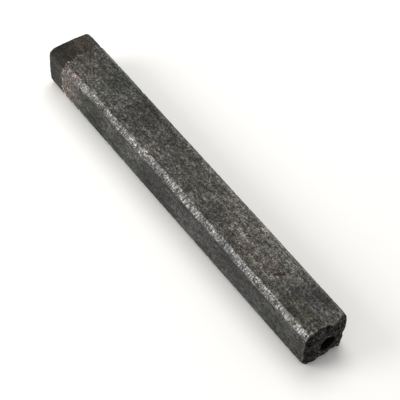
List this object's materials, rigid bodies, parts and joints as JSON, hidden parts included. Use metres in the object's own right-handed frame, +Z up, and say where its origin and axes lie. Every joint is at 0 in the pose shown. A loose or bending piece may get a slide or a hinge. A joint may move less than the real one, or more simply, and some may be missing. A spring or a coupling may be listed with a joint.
{
  "type": "charcoal briquette stick",
  "caption": "Long square stick of pressed sawdust charcoal with chamfered edges, a round draught hole through its length and one rough broken end, for grilling fuel.",
  "frame": {"origin": "centre of the footprint of the lower flat face that the stick lies on", "axes": "+X along the stick towards its broken end, +Z up, +Y across it"},
  "size_m": [0.348, 0.04, 0.04],
  "materials": {
    "charcoal": null
  },
  "bodies": {
    "root": {"charcoal_stick": "charcoal"}
  },
  "joints": []
}
